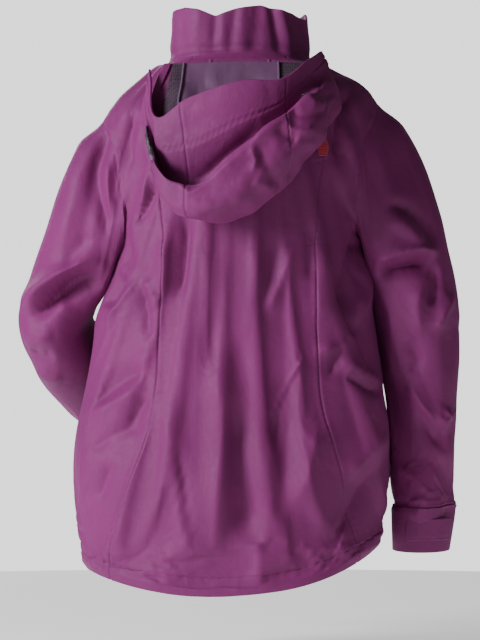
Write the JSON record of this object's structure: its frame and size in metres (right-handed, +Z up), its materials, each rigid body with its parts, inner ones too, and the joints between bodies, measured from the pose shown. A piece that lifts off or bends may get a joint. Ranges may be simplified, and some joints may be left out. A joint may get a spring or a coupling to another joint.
{
  "type": "hardshell jacket",
  "caption": "Waterproof hooded hiking jacket with set-in sleeves, a stand-up collar, a front zip under a storm flap, zipped hand pockets and cuff tabs.",
  "frame": {"origin": "middle of the nape, on the seam between collar and back", "axes": "+Z up, the front (zip side) faces -Y, the wearer's left is +X"},
  "size_m": [0.5976, 0.4661, 0.7734],
  "materials": {
    "shell_cloth": "plum coated nylon with a fine ripple and a soft sheen",
    "lining_cloth": "mauve-grey smooth taffeta",
    "zip_plastic": "dark plum moulded zip teeth and woven tape",
    "hook_and_loop": "hook-and-loop tape",
    "badge_thread": "satin-stitched red thread",
    "slider_metal": "dark plated die-cast zip slider"
  },
  "bodies": {
    "torso": {"back_center_panel": "shell_cloth", "back_left_panel": "shell_cloth", "back_right_panel": "shell_cloth", "front_left_yoke": "shell_cloth", "front_right_yoke": "shell_cloth", "front_left_panel": "shell_cloth", "front_right_panel": "shell_cloth", "collar_outer": "shell_cloth", "collar_lining": "lining_cloth", "hanger_loop": "shell_cloth", "lining_back": "lining_cloth", "lining_front_left": "lining_cloth", "lining_front_right": "lining_cloth", "hem_facing": "lining_cloth", "zip_tape_left": "zip_plastic", "zip_tape_right": "zip_plastic", "zip_teeth_left": "zip_plastic", "zip_teeth_right": "zip_plastic", "zip_box": "zip_plastic", "flap_loops_top": "hook_and_loop", "flap_loops_bottom": "hook_and_loop", "pocket_zip_left": "zip_plastic", "pocket_zip_right": "zip_plastic", "pocket_bag_left": "lining_cloth", "pocket_bag_right": "lining_cloth", "shoulder_badge": "badge_thread", "left_sleeve_cap": "shell_cloth", "right_sleeve_cap": "shell_cloth"},
    "left_sleeve": {"left_upper_sleeve": "shell_cloth", "left_elbow_gusset": "shell_cloth"},
    "right_sleeve": {"right_upper_sleeve": "shell_cloth", "right_elbow_gusset": "shell_cloth"},
    "left_forearm": {"left_lower_sleeve": "shell_cloth", "left_cuff": "shell_cloth", "left_cuff_loops": "hook_and_loop"},
    "right_forearm": {"right_lower_sleeve": "shell_cloth", "right_cuff": "shell_cloth", "right_cuff_loops": "hook_and_loop"},
    "left_cuff_tab": {"left_cuff_tab": "shell_cloth"},
    "right_cuff_tab": {"right_cuff_tab": "shell_cloth"},
    "hood": {"hood_brim": "shell_cloth", "hood_center_panel": "shell_cloth", "hood_left_panel": "shell_cloth", "hood_right_panel": "shell_cloth", "hood_lining": "lining_cloth"},
    "storm_flap": {"storm_flap": "shell_cloth", "flap_hooks_top": "hook_and_loop", "flap_hooks_bottom": "hook_and_loop"},
    "zip_slider": {"zip_slider": "slider_metal"},
    "zip_pull": {"zip_pull": "zip_plastic"},
    "pocket_left_slider": {"pocket_left_slider": "slider_metal"},
    "pocket_left_pull": {"pocket_left_pull": "zip_plastic"},
    "pocket_right_slider": {"pocket_right_slider": "slider_metal"},
    "pocket_right_pull": {"pocket_right_pull": "zip_plastic"}
  },
  "joints": [
    {"name": "left_shoulder", "type": "hinge", "parent": "torso", "child": "left_sleeve", "pos_m": [0.166, 0, -0.092], "axis": [0, -1, 0], "range_deg": [0, 60], "deforming": ["left_sleeve_cap"]},
    {"name": "right_shoulder", "type": "hinge", "parent": "torso", "child": "right_sleeve", "pos_m": [-0.165, 0, -0.085], "axis": [0, 1, 0], "range_deg": [0, 60], "deforming": ["right_sleeve_cap"]},
    {"name": "left_elbow", "type": "hinge", "parent": "left_sleeve", "child": "left_forearm", "pos_m": [0.257, -0.028, -0.35], "axis": [-0.6892, 0.6531, -0.314], "range_deg": [-55, 10], "deforming": ["left_elbow_gusset"]},
    {"name": "right_elbow", "type": "hinge", "parent": "right_sleeve", "child": "right_forearm", "pos_m": [-0.241, -0.014, -0.35], "axis": [-1, 0, 0], "range_deg": [0, 80], "deforming": ["right_elbow_gusset"]},
    {"name": "left_cuff_tab_peel", "type": "hinge", "parent": "left_forearm", "child": "left_cuff_tab", "pos_m": [0.18455, -0.21787, -0.54188], "axis": [-0.3896, -0.6993, -0.5994], "range_deg": [0, 100]},
    {"name": "right_cuff_tab_peel", "type": "hinge", "parent": "right_forearm", "child": "right_cuff_tab", "pos_m": [-0.28191, -0.01, -0.62645], "axis": [0.0082, 0.0619, 0.9981], "range_deg": [0, 100]},
    {"name": "hood_lift", "type": "hinge", "parent": "torso", "child": "hood", "pos_m": [0, 0.066, 0], "axis": [1, 0, 0], "range_deg": [0, 120]},
    {"name": "storm_flap_open", "type": "hinge", "parent": "torso", "child": "storm_flap", "pos_m": [-0.024, -0.12184, -0.33896], "axis": [0, -0.1093, -0.994], "range_deg": [0, 150]},
    {"name": "zip_slide", "type": "slide", "parent": "torso", "child": "zip_slider", "axis": [0, -0.1093, -0.994], "range_m": [0, 0.625]},
    {"name": "zip_pull_lift", "type": "hinge", "parent": "zip_slider", "child": "zip_pull", "pos_m": [0, -0.07706, 0.03064], "axis": [-1, 0, 0], "range_deg": [0, 120]},
    {"name": "pocket_left_slide", "type": "slide", "parent": "torso", "child": "pocket_left_slider", "axis": [0.1102, -0.0673, -0.9916], "range_m": [0, 0.12]},
    {"name": "pocket_left_pull_lift", "type": "hinge", "parent": "pocket_left_slider", "child": "pocket_left_pull", "pos_m": [0.11684, -0.11892, -0.44887], "axis": [-0.937, -0.3398, -0.081], "range_deg": [0, 120]},
    {"name": "pocket_right_slide", "type": "slide", "parent": "torso", "child": "pocket_right_slider", "axis": [-0.1103, -0.0503, -0.9926], "range_m": [0, 0.12]},
    {"name": "pocket_right_pull_lift", "type": "hinge", "parent": "pocket_right_slider", "child": "pocket_right_pull", "pos_m": [-0.11763, -0.11822, -0.44897], "axis": [-0.9071, 0.4134, 0.0799], "range_deg": [0, 120]}
  ]
}
